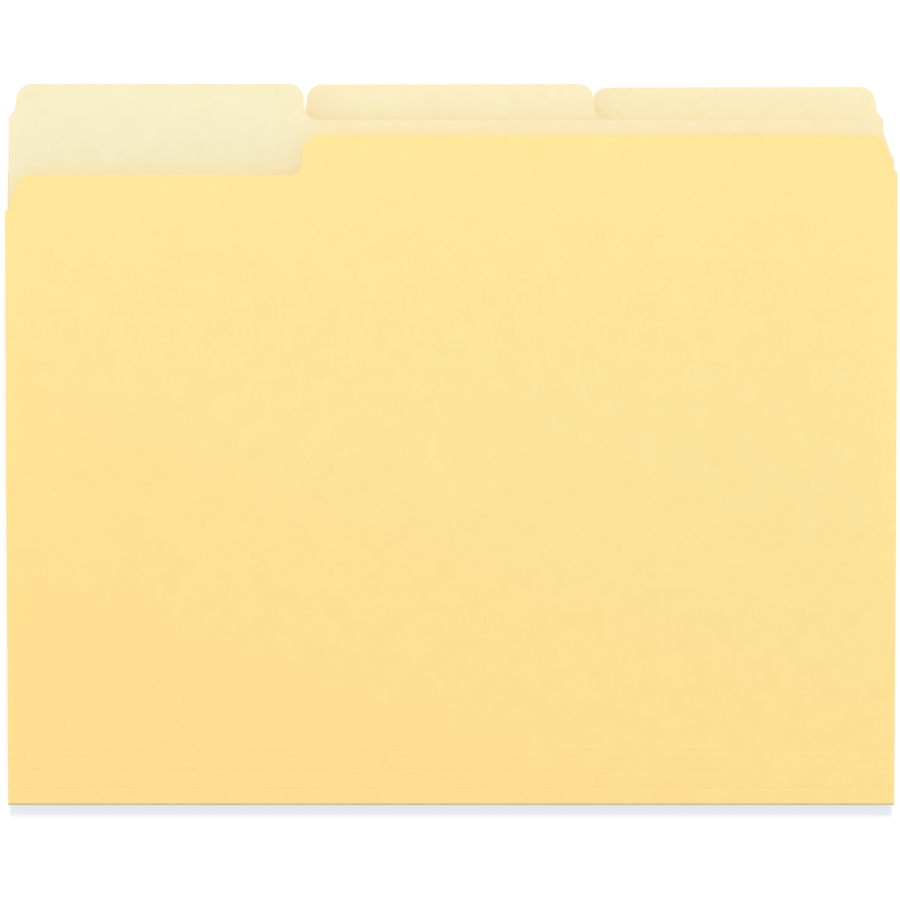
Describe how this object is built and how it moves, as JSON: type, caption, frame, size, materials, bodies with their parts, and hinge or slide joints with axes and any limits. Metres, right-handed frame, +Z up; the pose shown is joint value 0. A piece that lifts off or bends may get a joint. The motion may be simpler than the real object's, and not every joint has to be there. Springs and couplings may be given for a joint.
{
  "type": "file folder set",
  "caption": "Letter-size third-cut card file folders lying closed on each other, each with a raised tab, rolled crease, undercut front and pressed score lines.",
  "frame": {"origin": "centre of the overall box, on the surface that the set lies on", "axes": "+X along the closed edges, +Y from the closed edges to the tabs, +Z up from the table"},
  "size_m": [0.2997, 0.2446, 0.0217],
  "materials": {
    "card_outside": "matte, deeper yellow face of two-tone card stock",
    "card_inside": "matte, paler cream-yellow face of two-tone card stock"
  },
  "bodies": {
    "rear_back": {"rear_back_panel": "card_inside", "rear_crease": "card_outside"},
    "rear_cover": {"rear_front_panel": "card_outside"},
    "middle_back": {"middle_back_panel": "card_inside", "middle_crease": "card_outside"},
    "middle_cover": {"middle_front_panel": "card_outside"},
    "front_back": {"front_back_panel": "card_inside", "front_crease": "card_outside"},
    "front_cover": {"front_front_panel": "card_outside"}
  },
  "joints": [
    {"name": "rear_open", "type": "hinge", "parent": "rear_back", "child": "rear_cover", "pos_m": [0.00015, -0.12067, 0.0006], "axis": [1, 0.0035, 0], "range_deg": [0, 174.5], "deforming": ["rear_crease"]},
    {"name": "middle_lift", "type": "slide", "parent": "rear_cover", "child": "middle_back", "axis": [0.0001, -0.0227, 0.9997], "range_m": [0, 0.12]},
    {"name": "middle_open", "type": "hinge", "parent": "middle_back", "child": "middle_cover", "pos_m": [0.00069, -0.1206, 0.0021], "axis": [1, 0.0017, 0], "range_deg": [0, 175], "deforming": ["middle_crease"]},
    {"name": "front_lift", "type": "slide", "parent": "middle_cover", "child": "front_back", "axis": [0.0001, -0.0489, 0.9988], "range_m": [0, 0.06]},
    {"name": "front_open", "type": "hinge", "parent": "front_back", "child": "front_cover", "pos_m": [0.00063, -0.12167, 0.00355], "axis": [1, 0, -0.0001], "range_deg": [0, 176], "deforming": ["front_crease"]}
  ]
}
